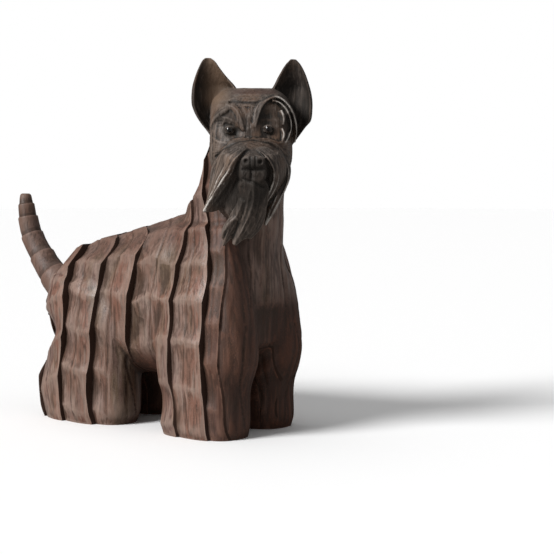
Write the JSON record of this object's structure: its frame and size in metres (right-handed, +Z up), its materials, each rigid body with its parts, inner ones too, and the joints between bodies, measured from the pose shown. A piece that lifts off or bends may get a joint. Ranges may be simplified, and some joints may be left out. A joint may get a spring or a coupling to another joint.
{
  "type": "scottish terrier statuette",
  "caption": "Standing Scottish terrier statuette with pricked ears, a long moustache and beard, an upright ringed tail and a body carved in upright overlapping slabs; stands on its feet.",
  "frame": {"origin": "middle of the figure's outline seen from above, at the height of its soles", "axes": "+Z up, the dog's chest faces -Y and its tail +Y, its left is +X; the head is turned 50 degrees to its right"},
  "size_m": [0.147, 0.3828, 0.3595],
  "materials": {
    "stained_resin": "satin, stained like carved wood"
  },
  "bodies": {
    "root": {"scottish_terrier": "stained_resin"}
  },
  "joints": []
}
